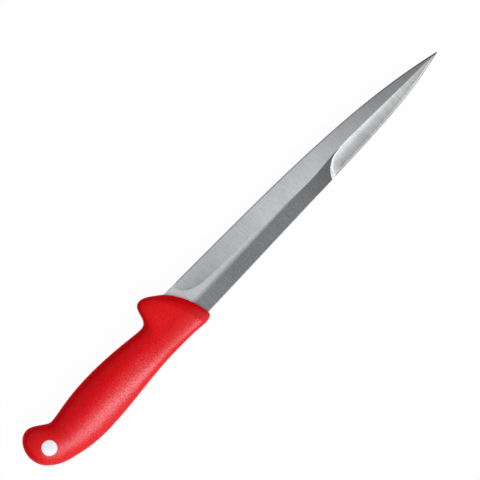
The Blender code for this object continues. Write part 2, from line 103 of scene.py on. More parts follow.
TANG_ROOT_STEPS = 9

# Blade, in section
THINNING_START = 92 * MM
THINNING_END = 134 * MM
THINNING_PULLS = (14 * MM, 19 * MM)
THINNING_STEPS = 60
THINNED = 0.958 * MM             # half thickness where the thinning has eased off
THINNING_RISE = 0.082 * MM       # half thickness above that, at the far end of the end's pull
POINT_THINNED = THINNED - 0.15 * MM
ROOT_TAPER = 1.75                # degrees by which each side leans in past the flat band
PLUNGE_WALL_ANGLE = 28.5         # degrees
BEVEL_THICKNESS = 0.5 * MM
EDGE_BEVEL_START = -1.9 * MM
BACK_BEVEL_DELAY = 1.2 * MM      # from the start of the ground back to that of its bevel
EDGE_LAND = 0.06 * MM            # thickness that is left at the sharp edges
BACK_ROUNDING = 0.08 * MM
HEEL_ROUNDING = 0.12 * MM
MAIN_PLUNGE_SOFTNESS = 0.1 * MM  # how softly a plunge's wall runs out into its ground face
BACK_PLUNGE_SOFTNESS = 0.15 * MM
BAND_SOFTNESS = 0.02 * MM        # how softly the flat band bends into the leaning root
SLOT_GAP = 0.12 * MM             # round the tang inside the handle
BORE_GAP = 0.05 * MM             # round the plug

# Rows of the blade's mesh, in millimetres from the back and from the edge, and in steps of
# RIDGE_STEP from the ridge
BACK_ROWS = (0, 0.01, 0.03, 0.08, 0.6, 1.14, 1.2, 1.26)
EDGE_ROWS = (0.76, 0.7, 0.64, 0.35, 0.12, 0.05, 0.02, 0)
RIDGE_ROWS = (-8.5, -7, -5.5, -4, -2.5, -1, 0, 1, 3)
RIDGE_STEP = 0.06 * MM
RIDGE_SPAN = (10, 5)             # steps that these rows take up, towards the back and the edge
EVEN_ROWS = (36, 32)             # even rows between back and ridge, and between ridge and edge
NARROW = 4 * MM                  # a blade less high than this has its rows closer together

# Handle
FRONT_SQUARENESS = 1.25          # 1 is a plain slope, 2 a quarter circle
END_SQUARENESS = 2.4
ROWS_ROUND = 144
SECTION_STEPS = 36
END_STEPS = 48
CIRCLE_STEPS = 96

# Stage
CAMERA_PLACE = (0.00901, 0.000615, 4.8115)
CAMERA_TURN = -46.89             # degrees, by which the knife lies aslant in the picture
CAMERA_LENS = 609.2              # millimetres
CAMERA_FILM = 36                 # millimetres
KEY_WIDTH = 44                   # degrees over which the key light is spread
FLOOR_REACH = 4.0


def along(point, degrees, reach):
    """The place at a distance from a point in the side view, 0 degrees being along +x."""
    turn = math.radians(degrees)
    return (point[0] + math.cos(turn) * reach, point[1] + math.sin(turn) * reach)


def bezier(start, start_pull, end_pull, end, shares):
    """Places on a cubic curve at an array of shares of its way."""
    shares = np.asarray(shares)[:, None]
    rest = 1 - shares
    return (np.array(start) * rest ** 3 + np.array(start_pull) * (3 * rest ** 2 * shares)
            + np.array(end_pull) * (3 * rest * shares ** 2) + np.array(end) * shares ** 3)


def even_shares(steps):
    """Shares of a way from 0 to 1, in even steps."""
    return np.linspace(0, 1, steps + 1)


def eased(share):
    """A share of 0 to 1 that starts and ends softly."""
    return share * share * (3 - 2 * share)


def edge_curve():
    """The cutting edge, from the hidden root to the point."""
    heel = (0, HEEL_HEIGHT)
    curve = bezier(heel, along(heel, -EDGE_HEEL_ANGLE, EDGE_PULLS[0]),
                   along(POINT, 180 - EDGE_POINT_ANGLE, EDGE_PULLS[1]), POINT,
                   even_shares(OUTLINE_STEPS))
    return np.vstack([along(heel, 180 - EDGE_HEEL_ANGLE, HIDDEN_REACH), curve])


def back_curve():
    """The back, straight at first and ground away towards the point."""
    start = (SWEDGE_START, 0)
    curve = bezier(start, along(start, 0, BACK_PULLS[0]),
                   along(POINT, 180 + BACK_POINT_ANGLE, BACK_PULLS[1]), POINT,
                   even_shares(OUTLINE_STEPS))
    return np.vstack([(-HIDDEN_REACH, 0), curve])


def sheet_curve(half):
    """Half thickness of the unground sheet, which thins where the back is ground."""
    start_hold, end_hold = THINNING_PULLS
    curve = bezier((THINNING_START, half), (THINNING_START + start_hold, half),
                   (THINNING_END - end_hold, THINNED + THINNING_RISE), (THINNING_END, THINNED),
                   even_shares(THINNING_STEPS))
    return np.vstack([(HEEL_X, half), curve, (BLADE_LENGTH, POINT_THINNED)])


def soft_max(first, second, softness):
    """The larger of two values, blended where they are close."""
    return (first + second + np.sqrt((first - second) ** 2 + softness ** 2)) / 2


def rounded(half, flank, inside, radius):
    """Half thickness with a border rounded off from its flank, over a radius from the border."""
    near = np.clip(1 - inside / radius, 0, 1)
    return np.minimum(half, flank - radius * (1 - np.sqrt(1 - near ** 2)))


def slant_factor(height, x):
    """How many times longer a step in y is than the step square to a curve of heights."""
    step = 0.5 * MM
    slope = (height(x + step) - height(x - step)) / (2 * step)
    return np.sqrt(1 + slope ** 2)


def signed_distance(x, y, line):
    """Distance of places from a line of points, positive on the line's left."""
    nearest = np.full(x.shape, np.inf)
    side = np.ones(x.shape)
    for (ax, ay), (bx, by) in zip(line, line[1:]):
        dx, dy = bx - ax, by - ay
        share = np.clip(((x - ax) * dx + (y - ay) * dy) / (dx * dx + dy * dy), 0, 1)
        off_x, off_y = x - ax - share * dx, y - ay - share * dy
        distance = np.hypot(off_x, off_y)
        closer = distance < nearest
        nearest = np.where(closer, distance, nearest)
        side = np.where(closer, np.sign(dx * off_y - dy * off_x), side)
    return nearest * side


def plunge(start, start_turn, start_pull, end, end_turn, end_pull, beyond):
    """The curved start of a ground face, run on before its start and to a place beyond.

    The turns are its headings in degrees, and the pulls are shares of the way.
    """
    way = math.dist(start, end)
    curve = bezier(start, along(start, start_turn, start_pull * way),
                   along(end, end_turn, end_pull * way), end, even_shares(PLUNGE_STEPS))
    return np.vstack([along(start, start_turn + 180, 6 * MM), curve, beyond])


def heel_plunge(ridge_y):
    """The curved heel end of the main ground face, from beyond the edge to the ridge."""
    return plunge(start=(HEEL_PLUNGE_START, HEEL_HEIGHT), start_turn=-77, start_pull=0.29,
                  end=(HEEL_PLUNGE_END, ridge_y), end_turn=175, end_pull=0.47,
                  beyond=(BLADE_LENGTH + 12 * MM, -12 * MM))


def swedge_plunge():
    """The curved start of the ground back, from the back to the ridge."""
    end = (SWEDGE_START + SWEDGE_PLUNGE_LENGTH, SWEDGE_PLUNGE_HEIGHT)
    return plunge(start=(SWEDGE_START, 0), start_turn=62, start_pull=0.34,
                  end=end, end_turn=183, end_pull=0.42,
                  beyond=(BLADE_LENGTH + 12 * MM, HEEL_HEIGHT))


class BladeForm:
    """Half thickness and zones of the blade at any places of its side view."""

    def __init__(self, sizes):
        self.half = sizes.stock / 2
        self.edge_bevel = sizes.edge_bevel
        self.back_bevel = sizes.back_bevel
        self.wall = math.tan(math.radians(PLUNGE_WALL_ANGLE))
        rise = self.half - BEVEL_THICKNESS / 2
        self.main_slope = rise / (sizes.grind_width - sizes.edge_bevel)
        self.back_slope = rise / (sizes.swedge_width - sizes.back_bevel)
        self.edge_line = edge_curve()
        self.back_line = back_curve()
        self.sheet_line = sheet_curve(self.half)
        x = HEEL_PLUNGE_END
        straight_edge = HEEL_HEIGHT - x * math.tan(math.radians(EDGE_HEEL_ANGLE))
        lean = math.tan(math.radians(ROOT_TAPER))
        ridge_y = ((self.main_slope * (straight_edge - sizes.grind_width) - lean * self.band(x))
                   / (self.main_slope - lean))
        self.heel_line = heel_plunge(ridge_y)
        self.swedge_line = swedge_plunge()

    def edge_y(self, x):
        return np.interp(x, *self.edge_line.T)

    def back_y(self, x):
        return np.interp(x, *self.back_line.T)

    def band(self, x):
        """Where the flat band ends, from the back."""
        return BAND_HEIGHT - x * math.tan(math.radians(BAND_NARROWING))

    def to_edge(self, x, y):
        return (self.edge_y(x) - y) / slant_factor(self.edge_y, x)

    def to_back(self, x, y):
        return (y - self.back_y(x)) / slant_factor(self.back_y, x)

    def sheet(self, x, y):
        """The unground sheet, which thins towards the point and leans in past the flat band."""
        flat = np.interp(x, *self.sheet_line.T)
        lean = flat - (y - self.band(x)) * math.tan(math.radians(ROOT_TAPER))
        return -soft_max(-flat, -lean, BAND_SOFTNESS)

    def main_face(self, x, y):
        low = BEVEL_THICKNESS / 2 - self.edge_bevel * self.main_slope
        return low + self.main_slope * self.to_edge(x, y)

    def back_face(self, x, y):
        low = BEVEL_THICKNESS / 2 - self.back_bevel * self.back_slope
        return low + self.back_slope * self.to_back(x, y)

    def ridge_y(self, x):
        """Where the main ground face meets the sheet or the ground back, at each x."""
        shares = np.linspace(0.02, 0.98, 700)[:, None]
        back, edge = self.back_y(x), self.edge_y(x)
        y = back + (edge - back) * shares
        x_all = np.broadcast_to(x, y.shape)
        past_plunge = x_all > SWEDGE_START + 10 * MM
        ground_back = np.where(past_plunge, self.back_face(x_all, y), np.inf)
        above = self.main_face(x_all, y) > np.minimum(self.sheet(x_all, y), ground_back)
        last = np.where(above.any(axis=0), above.shape[0] - 1 - above[::-1].argmax(axis=0), 0)
        return y[last, np.arange(len(x))]

    def bevels(self, x, to_edge, to_back):
        """Half thickness left by the sharpening of the edge and by that of the back."""
        rise = (BEVEL_THICKNESS - EDGE_LAND) / 2
        edge = np.maximum(EDGE_LAND / 2 + rise / self.edge_bevel * to_edge,
                          self.half - self.wall * (x - EDGE_BEVEL_START))
        # Beyond its width, and a little at its start, the back's bevel keeps off the sheet.
        beyond = np.maximum(to_back - self.back_bevel, 0)
        before = 0.05 * np.maximum(SWEDGE_START + 5 * MM - x, 0)
        back = EDGE_LAND / 2 + rise / self.back_bevel * to_back + beyond + before
        back = np.maximum(back, self.half - self.wall * (x - SWEDGE_START - BACK_BEVEL_DELAY))
        return edge, back

    def shape(self, x, y):
        """Half thickness at each place, and how far each place lies inside each zone."""
        to_edge, to_back = self.to_edge(x, y), self.to_back(x, y)
        sheet = self.sheet(x, y)
        main = self.main_face(x, y)
        main_wall = self.half - self.wall * signed_distance(x, y, self.heel_line)
        main_cut = soft_max(main, main_wall, MAIN_PLUNGE_SOFTNESS)
        back = self.back_face(x, y)
        back_wall = sheet + self.wall * signed_distance(x, y, self.swedge_line)
        back_cut = soft_max(back, back_wall, BACK_PLUNGE_SOFTNESS)
        edge_bevel, back_bevel = self.bevels(x, to_edge, to_back)
        half = np.minimum(np.minimum(sheet, main_cut), back_cut)
        zones = {
            "leaning": y - self.band(x),
            "main_ground": (np.minimum(sheet, back_cut) - main_cut) / self.main_slope,
            "main_wall": (main_wall - main) / self.wall,
            "back_ground": (np.minimum(sheet, main_cut) - back_cut) / self.back_slope,
            "back_wall": (back_wall - back) / self.wall,
            "edge_bevel": (half - edge_bevel) / self.main_slope,
            "back_bevel": (half - back_bevel) / self.back_slope,
            "to_edge": to_edge,
            "to_back": to_back,
        }
        half = np.minimum(np.minimum(half, edge_bevel), back_bevel)
        half = rounded(half, self.half, to_back, BACK_ROUNDING)
        unsharpened = np.where(half > BEVEL_THICKNESS, half, np.inf)
        half = rounded(half, unsharpened, to_edge, HEEL_ROUNDING)
        return np.maximum(half, EDGE_LAND / 2), zones


def blade_stations():
    """Places along the blade, closer where its ground faces start and at the point."""
    heel_end = HEEL_PLUNGE_END + 3.4 * MM
    back_start = SWEDGE_START - 4.4 * MM
    back_end = SWEDGE_START + 16.6 * MM
    point_start = BLADE_LENGTH - 15.5 * MM
    point_end = BLADE_LENGTH - 0.2 * MM
    runs = [
        (HEEL_X, heel_end, 0.38 * MM),
        (heel_end, back_start, 0.8 * MM),
        (back_start, back_end, 0.22 * MM),
        (back_end, point_start, 0.804 * MM),
        (point_start, point_end, 0.4 * MM),
    ]
    stations = [np.linspace(start, end, round((end - start) / step), endpoint=False)
                for start, end, step in runs]
    return np.concatenate(stations + [BLADE_LENGTH - np.array([0.2, 0.1, 0.03]) * MM])


def blade_rows(form, x):
    """Heights of the mesh's rows at each station; they crowd at the lines of the blade."""
    back, edge, ridge = form.back_y(x), form.edge_y(x), form.ridge_y(x)
    near_point = np.minimum(1, (edge - back) / NARROW)
    step = near_point * RIDGE_STEP
    before, past = RIDGE_SPAN
    lower = [back + near_point * offset * MM for offset in BACK_ROWS]
    upper = [edge - near_point * offset * MM for offset in EDGE_ROWS]
    ridge = np.clip(ridge, lower[-1] + (before + 1) * step, upper[0] - (past + 1) * step)
    low, high = ridge - before * step, ridge + past * step
    below = [lower[-1] + (low - lower[-1]) * share for share in even_shares(EVEN_ROWS[0])[1:]]
    above = [high + (upper[0] - high) * share for share in even_shares(EVEN_ROWS[1])[:-1]]
    middle = [ridge + step * place for place in RIDGE_ROWS]
    return np.array(lower + below + middle + above + upper).T


def with_tang(form, x, y, half, zones):
    """The grid of places, with its first station run on into the narrow hidden tang."""
    first = y[:1]
    shares = (first - first[:, :1]) / (first[:, -1:] - first[:, :1])
    tang_x = np.concatenate([np.linspace(TANG_END, TANG_ROOT_X, TANG_STEPS, endpoint=False),
                             np.linspace(TANG_ROOT_X, HEEL_X, TANG_ROOT_STEPS, endpoint=False)])
    width = np.interp(tang_x, (TANG_END, TANG_ROOT_X), (TANG_END_WIDTH, TANG_ROOT_WIDTH))
    low = TANG_MIDDLE - width / 2
    high = TANG_MIDDLE + width / 2
    widening = np.clip((tang_x - TANG_ROOT_X) / (HEEL_X - TANG_ROOT_X), 0, 1)
    widening = eased(widening) ** 2
    low = low + (first[0, 0] - low) * widening
    high = high + (first[0, -1] - high) * widening
    tang_y = low[:, None] + (high - low)[:, None] * shares
    tang_half = np.broadcast_to(form.sheet(HEEL_X, first), tang_y.shape)
    tang_half = np.minimum(tang_half, half[:1])
    x = np.vstack([np.broadcast_to(tang_x[:, None], tang_y.shape), x])
    y = np.vstack([tang_y, y])
    half = np.vstack([tang_half, half])
    zones = {name: np.vstack([np.repeat(value[:1], len(tang_x), axis=0), value])
             for name, value in zones.items()}
    return x, y, half, zones


def skin_faces(count, across):
    """Faces of a closed skin: two grids of places, one for each side, and then the point."""
    lower = count * across
    tip = 2 * lower
    faces = []
    for station in range(count - 1):
        start = station * across
        for row in range(across - 1):
            corner = start + row
            faces.append((corner, corner + across, corner + across + 1, corner + 1))
            faces.append((lower + corner, lower + corner + 1, lower + corner + across + 1,
                          lower + corner + across))
        for row, turned in ((0, False), (across - 1, True)):
            corner = start + row
            strip = (corner, lower + corner, lower + corner + across, corner + across)
            faces.append(strip[::-1] if turned else strip)
    for row in range(across - 1):
        faces.append((row, row + 1, lower + row + 1, lower + row))
        corner = (count - 1) * across + row
        faces.append((corner, tip, corner + 1))
        faces.append((lower + corner, lower + corner + 1, tip))
    corner = (count - 1) * across
    faces.append((corner, lower + corner, tip))
    faces.append((corner + across - 1, tip, lower + corner + across - 1))
    return faces


def blade_mesh(sizes):
    """Both sides of the blade with its hidden tang, as one closed skin."""
    form = BladeForm(sizes)
    stations = blade_stations()
    y = blade_rows(form, stations)
    x = np.broadcast_to(stations[:, None], y.shape)
    x, y, half, zones = with_tang(form, x, y, *form.shape(x, y))
    sides = [np.stack([x, y, half], axis=-1), np.stack([x, y, -half], axis=-1)]
    places = np.concatenate([side.reshape(-1, 3) for side in sides])
    places = np.vstack([places, (*POINT, 0)])
    mesh = bpy.data.meshes.new("blade")
    mesh.from_pydata((places + np.array(DATUM)).tolist(), [], skin_faces(*x.shape))
    for name, value in zones.items():
        layer = mesh.attributes.new(name, "FLOAT", "POINT")
        flat = np.concatenate([value.ravel(), value.ravel(), value[-1, -1:]]) / MM
        layer.data.foreach_set("value", flat.astype(np.float32))
    return mesh


def knots(sizes):
    """The handle's outline on its edge side and on its back side, from front to end.

    Each knot has its x and y in millimetres, the outline's heading in degrees, and the shares
    of the way to the last and to the next knot over which it holds on to that heading. The
    section at each pair of knots has its thickness, its squareness on the edge side and on
    the back side, and how far it bulges forwards.
    """
    end = HANDLE_END / MM
    edge_side = [
        (-10.7, 26.9, 142, 0, 0.42),
        (-22.9, 34.3, 180, 0.26, 0.45),
        (-34.5, 22.2, 180, 0.48, 0.11),
        (end + 56.0, 26.2, 180, 0.495, 0.54),
        (end + 24.6, 23.55, 180, 0.175, 0.23),
        (end + 10.5, 30.8, 180, 0.35, 0.385),
        (end, 17.7, 270, 0.34, 0),
    ]
    back_side = [
        (0.4, -0.9, -117, 0, 0.29),
        (-13.0, -2.4, 175, 0.445, 0.28),
        (-34.5, -1.75, 180, 0.325, 0.3),
        (end + 47.0, -4.55, 180, 0.335, 0.355),
        (end + 24.6, -2.1, 165, 0.31, 0.33),
        (end + 10.5, 2.5, 150, 0.295, 0.4),
        (end, 17.7, 90, 0.39, 0),
    ]
    sections = [
        (sizes.guard_thickness, 3.3, 6.0, sizes.mouth_bulge),
        (sizes.guard_thickness, 4.4, 6.5, sizes.mouth_bulge / 2),
        (sizes.waist_thickness, 2.4, 3.6, 0),
        (sizes.belly_thickness, 2.0, 2.0, 0),
        (sizes.neck_thickness, 2.0, 2.0, 0),
        (sizes.butt_thickness, 2.4, 2.2, 0),
        (sizes.butt_thickness, 2.4, 2.4, 0),
    ]
    return edge_side, back_side, sections


def side_run(side, index, shares):
    """Places on one side of the outline between two knots."""
    x, y, turn, _, hold = side[index]
    next_x, next_y, next_turn, next_hold, _ = side[index + 1]
    start, end = (x, y), (next_x, next_y)
    way = math.dist(start, end)
    return bezier(start, along(start, turn, hold * way), along(end, next_turn, -next_hold * way),
                  end, shares) * MM


def swell(distance, length, squareness):
    """From 0 at a rounded end to 1 at the length over which it is rounded."""
    near = np.clip(1 - distance / length, 0, 1)
    return (1 - near ** squareness) ** (1 / squareness)


def handle_stations(sizes):
    """The grip's sections, one point each, with their values as attributes."""
    edge_side, back_side, sections = knots(sizes)
    edge, back, values = [], [], []
    for index in range(len(sections) - 1):
        shares = np.arange(SECTION_STEPS) / SECTION_STEPS
        if index == 0:
            shares = 1 - np.cos(shares * math.pi / 2)
        if index == len(sections) - 2:
            shares = np.sin(np.arange(END_STEPS + 1) / END_STEPS * math.pi / 2)
        edge.append(side_run(edge_side, index, shares))
        back.append(side_run(back_side, index, shares))
        change = eased(shares)[:, None]
        values.append(np.array(sections[index]) * (1 - change)
                      + np.array(sections[index + 1]) * change)
    edge, back, values = np.vstack(edge), np.vstack(back), np.vstack(values)
    middle = (edge + back) / 2
    from_front = np.hypot(*(middle - middle[0]).T)
    grown = swell(from_front, sizes.front_rounding, FRONT_SQUARENESS)
    thickness = sizes.mouth_thickness + (values[:, 0] - sizes.mouth_thickness) * grown
    thickness *= swell(middle[:, 0] - HANDLE_END, sizes.end_rounding, END_SQUARENESS)
    # The first station comes twice, once without thickness, which closes the front.
    repeat = np.r_[0, np.arange(len(edge))]
    thickness = thickness[repeat]
    thickness[0] = 0
    stations = bpy.data.meshes.new("handle_stations")
    stations.vertices.add(len(repeat))
    for name, data_type, value in (
            ("edge_place", "FLOAT_VECTOR", np.c_[edge, np.zeros(len(edge))][repeat]),
            ("back_place", "FLOAT_VECTOR", np.c_[back, np.zeros(len(back))][repeat]),
            ("thickness", "FLOAT", thickness),
            ("edge_square", "FLOAT", values[repeat, 1]),
            ("back_square", "FLOAT", values[repeat, 2]),
            ("bulge", "FLOAT", values[repeat, 3])):
        layer = stations.attributes.new(name, data_type, "POINT")
        key = "vector" if data_type == "FLOAT_VECTOR" else "value"
        layer.data.foreach_set(key, value.astype(np.float32).ravel())
    return stations


class Tree:
    """Adds nodes to a tree; a value may be a socket or a plain number or vector."""

    def __init__(self, tree):
        self.tree = tree

    def node(self, kind, *values, **settings):
        made = self.tree.nodes.new(kind)
        for name, setting in settings.items():
            setattr(made, name, setting)
        for slot, value in enumerate(values):
            self.feed(made.inputs[slot], value)
        return made

    def feed(self, socket, value):
        if isinstance(value, bpy.types.NodeSocket):
            self.tree.links.new(value, socket)
        elif value is not None:
            socket.default_value = value

    def math(self, operation, *values, clamp=False):
        return self.node("ShaderNodeMath", *values, operation=operation, use_clamp=clamp).outputs[0]

    def plus(self, first, second):
        return self.math("ADD", first, second)

    def minus(self, first, second):
        return self.math("SUBTRACT", first, second)

    def times(self, product, *factors):
        """The product of two or more values."""
        for factor in factors:
            product = self.math("MULTIPLY", product, factor)
        return product

    def vector(self, operation, *values):
        return self.node("ShaderNodeVectorMath", *values, operation=operation).outputs[0]

    def scaled(self, vector, number):
        made = self.node("ShaderNodeVectorMath", vector, operation="SCALE")
        self.feed(made.inputs["Scale"], number)
        return made.outputs[0]

    def noise(self, place, scale, detail=2.0, roughness=0.5):
        made = self.node("ShaderNodeTexNoise", place)
        for name, value in (("Scale", scale), ("Detail", detail), ("Roughness", roughness)):
            made.inputs[name].default_value = value
        return made.outputs["Fac"]

    def ramp(self, value, low, high, from_value=0.0, to_value=1.0):
        """Carries a value from low..high to from_value..to_value, clamped."""
        made = self.node("ShaderNodeMapRange", value, low, high, from_value, to_value)
        return made.outputs[0]

    def vary(self, noise, least, most):
        """Spreads a noise, which mostly lies between 0.3 and 0.7, from least to most."""
        return self.ramp(noise, 0.3, 0.7, least, most)

    def through(self, value, stops):
        """Carries a value through places and levels, straight from one to the next."""
        total = stops[0][1]
        for (low, before), (high, after) in zip(stops, stops[1:]):
            total = self.plus(total, self.ramp(value, low, high, 0, after - before))
        return total

    def greys(self, value, stops, cool=1.0):
        """Carries a value from 0..1 through levels of grey, given with their places."""
        made = self.node("ShaderNodeValToRGB", value)
        shades = made.color_ramp.elements
        shades[0].position = stops[0][0]
        shades[1].position = stops[-1][0]
        for position, _ in stops[1:-1]:
            shades.new(position)
        for shade, (_, level) in zip(shades, stops):
            shade.color = grey(level, cool)
        return made.outputs[0]

    def blend(self, share, first, second):
        """Mixes two colours."""
        made = self.node("ShaderNodeMix", data_type="RGBA")
        for socket, value in zip((made.inputs[0], made.inputs[6], made.inputs[7]),
                                 (share, first, second)):
            self.feed(socket, value)
        return made.outputs[2]

    def value(self, colour, factor):
        """A colour made lighter or darker by a factor."""
        made = self.node("ShaderNodeHueSaturation")
        self.feed(made.inputs["Color"], colour)
        self.feed(made.inputs["Value"], factor)
        return made.outputs[0]

    def attribute(self, name):
        return self.node("ShaderNodeAttribute", attribute_name=name).outputs["Fac"]

    def zone(self, name, outer=-0.12, inner=0.12):
        """1 inside a zone of the blade and 0 outside it; its border is given in millimetres."""
        return self.ramp(self.attribute(name), outer, inner)

    def towards(self, direction, axis):
        """How far a direction points along an axis."""
        made = self.node("ShaderNodeVectorMath", direction, axis, operation="DOT_PRODUCT")
        return made.outputs["Value"]

    def bump(self, height, strength, distance):
        made = self.node("ShaderNodeBump")
        for name, value in (("Strength", strength), ("Distance", distance), ("Height", height)):
            self.feed(made.inputs[name], value)
        return made.outputs[0]


def handle_tree(finish):
    """Skins the grip's sections with a rounded outline that is squarer on each side."""
    group = bpy.data.node_groups.new("moulded_handle", "GeometryNodeTree")
    socket = group.interface.new_socket
    socket("Sections", in_out="INPUT", socket_type="NodeSocketGeometry")
    rows = socket("Rows Round", in_out="INPUT", socket_type="NodeSocketInt")
    join = socket("Join Distance", in_out="INPUT", socket_type="NodeSocketFloat")
    socket("Handle", in_out="OUTPUT", socket_type="NodeSocketGeometry")
    build = Tree(group)
    given = build.node("NodeGroupInput")
    sections = given.outputs["Sections"]
    around = build.plus(given.outputs["Rows Round"], 1)
    count = build.node("GeometryNodeAttributeDomainSize", sections, component="MESH")
    grid = build.node("GeometryNodeMeshGrid")
    build.feed(grid.inputs["Vertices X"], count.outputs["Point Count"])
    build.feed(grid.inputs["Vertices Y"], around)
    index = build.node("GeometryNodeInputIndex").outputs[0]
    section = build.math("FLOOR", build.math("DIVIDE", build.plus(index, 0.5), around))
    row = build.minus(index, build.times(section, around))

    def value(name, data_type="FLOAT"):
        named = build.node("GeometryNodeInputNamedAttribute", name, data_type=data_type)
        found = build.node("GeometryNodeSampleIndex", data_type=data_type, domain="POINT")
        build.feed(found.inputs["Geometry"], sections)
        build.feed(found.inputs["Value"], named.outputs["Attribute"])
        build.feed(found.inputs["Index"], section)
        return found.outputs["Value"]

    turn = build.math("DIVIDE", build.times(row, 2 * math.pi), given.outputs["Rows Round"])
    cosine = build.math("COSINE", turn)
    sine = build.math("SINE", turn)
    on_back = build.math("GREATER_THAN", cosine, 0)
    edge_square = value("edge_square")
    squarer = build.minus(value("back_square"), edge_square)
    square = build.math("MULTIPLY_ADD", on_back, squarer, edge_square)
    powers = [build.math("POWER", build.math("ABSOLUTE", side), square)
              for side in (cosine, sine)]
    reach = build.math("POWER", build.plus(*powers), build.math("DIVIDE", -1, square))
    across = build.times(cosine, reach, -1)
    up = build.times(sine, reach)
    edge_place = value("edge_place", "FLOAT_VECTOR")
    back_place = value("back_place", "FLOAT_VECTOR")
    middle = build.scaled(build.vector("ADD", edge_place, back_place), 0.5)
    half = build.scaled(build.vector("SUBTRACT", edge_place, back_place), 0.5)
    forward = build.vector("NORMALIZE", build.vector("CROSS_PRODUCT", half, (0, 0, 1)))
    bulge = build.times(value("bulge"), build.minus(1, build.times(across, across)))
    height = build.times(up, value("thickness"), 0.5)
    place = build.vector("ADD", build.vector("ADD", middle, build.scaled(half, across)),
                         build.scaled(forward, bulge))
    lift = build.node("ShaderNodeCombineXYZ", 0, 0, height).outputs[0]
    place = build.vector("ADD", build.vector("ADD", place, lift), tuple(DATUM))
    placed = build.node("GeometryNodeSetPosition")
    build.feed(placed.inputs["Geometry"], grid.outputs["Mesh"])
    build.feed(placed.inputs["Position"], place)
    joined = build.node("GeometryNodeMergeByDistance", placed.outputs[0])
    build.feed(joined.inputs["Distance"], given.outputs["Join Distance"])
    smooth = build.node("GeometryNodeSetShadeSmooth", joined.outputs[0])
    real = build.node("GeometryNodeRealizeInstances", smooth.outputs[0])
    painted = build.node("GeometryNodeSetMaterial", real.outputs[0])
    painted.inputs["Material"].default_value = finish
    build.node("NodeGroupOutput", painted.outputs[0])
    return group, {rows.identifier: ROWS_ROUND, join.identifier: 0.002 * MM}


def handle_form(sizes, finish):
    """The whole moulding, before its slot and its bore are cut."""
    handle = new_object("moulded_handle", handle_stations(sizes))
    group, values = handle_tree(finish)
    modifier = handle.modifiers.new("skin", "NODES")
    modifier.node_group = group
    for identifier, value in values.items():
        modifier[identifier] = value
    turn_faces_out(finished_mesh(handle, "moulded_handle"))
    return handle


def new_object(name, data):
    piece = bpy.data.objects.new(name, data)
    bpy.context.scene.collection.objects.link(piece)
    return piece


def finished_mesh(piece, name):
    """The piece as its modifiers leave it, as a plain mesh."""
    bpy.context.view_layer.update()
    evaluated = piece.evaluated_get(bpy.context.evaluated_depsgraph_get())
    mesh = bpy.data.meshes.new_from_object(evaluated)
    mesh.name = name
    piece.modifiers.clear()
    piece.data = mesh
    return mesh


def turn_faces_out(mesh):
    shape = bmesh.new()
    shape.from_mesh(mesh)
    fill_mesh(shape, mesh)


def fill_mesh(shape, mesh):
    """Writes a shape to a mesh with its faces pointing outwards."""
    bmesh.ops.recalc_face_normals(shape, faces=shape.faces)
    shape.to_mesh(mesh)
    shape.free()


def extruded(name, outline, half_height):
    """An upright solid over an outline in the side view."""
    shape = bmesh.new()
    bottom, top = [[shape.verts.new((x + DATUM.x, y + DATUM.y, height)) for x, y in outline]
                   for height in (DATUM.z - half_height, DATUM.z + half_height)]
    shape.faces.new(bottom[::-1])
    shape.faces.new(top)
    for index in range(len(outline)):
        after = (index + 1) % len(outline)
        shape.faces.new((bottom[index], bottom[after], top[after], top[index]))
    mesh = bpy.data.meshes.new(name)
    fill_mesh(shape, mesh)
    return new_object(name, mesh)


def cut_away(piece, cutters):
    """Cuts the cutters out of a piece and removes them."""
    for cutter in cutters:
        modifier = piece.modifiers.new(cutter.name, "BOOLEAN")
        modifier.operation = "DIFFERENCE"
        modifier.solver = "EXACT"
        modifier.object = cutter
    mesh = finished_mesh(piece, piece.name)
    for cutter in cutters:
        bpy.data.objects.remove(cutter)
    return mesh


def tang_slot(stock):
    """The space that the blade's root leaves in the moulding."""
    gap = SLOT_GAP
    lean = math.tan(math.radians(EDGE_HEEL_ANGLE))
    past_front = 4 * MM
    outline = [
        (TANG_END - gap, TANG_MIDDLE - TANG_END_WIDTH / 2 - gap),
        (TANG_ROOT_X - gap, TANG_MIDDLE - TANG_ROOT_WIDTH / 2 - gap),
        (HEEL_X - gap, -gap),
        (past_front, -gap),
        (past_front, HEEL_HEIGHT - past_front * lean + gap),
        (HEEL_X - gap, HEEL_HEIGHT - HEEL_X * lean + gap),
        (TANG_ROOT_X - gap, TANG_MIDDLE + TANG_ROOT_WIDTH / 2 + gap),
        (TANG_END - gap, TANG_MIDDLE + TANG_END_WIDTH / 2 + gap),
    ]
    return extruded("tang_slot", outline, stock / 2 + gap)


def circle(x, y, radius):
    turns = [2 * math.pi * step / CIRCLE_STEPS for step in range(CIRCLE_STEPS)]
    return [(x + radius * math.cos(turn), y + radius * math.sin(turn)) for turn in turns]


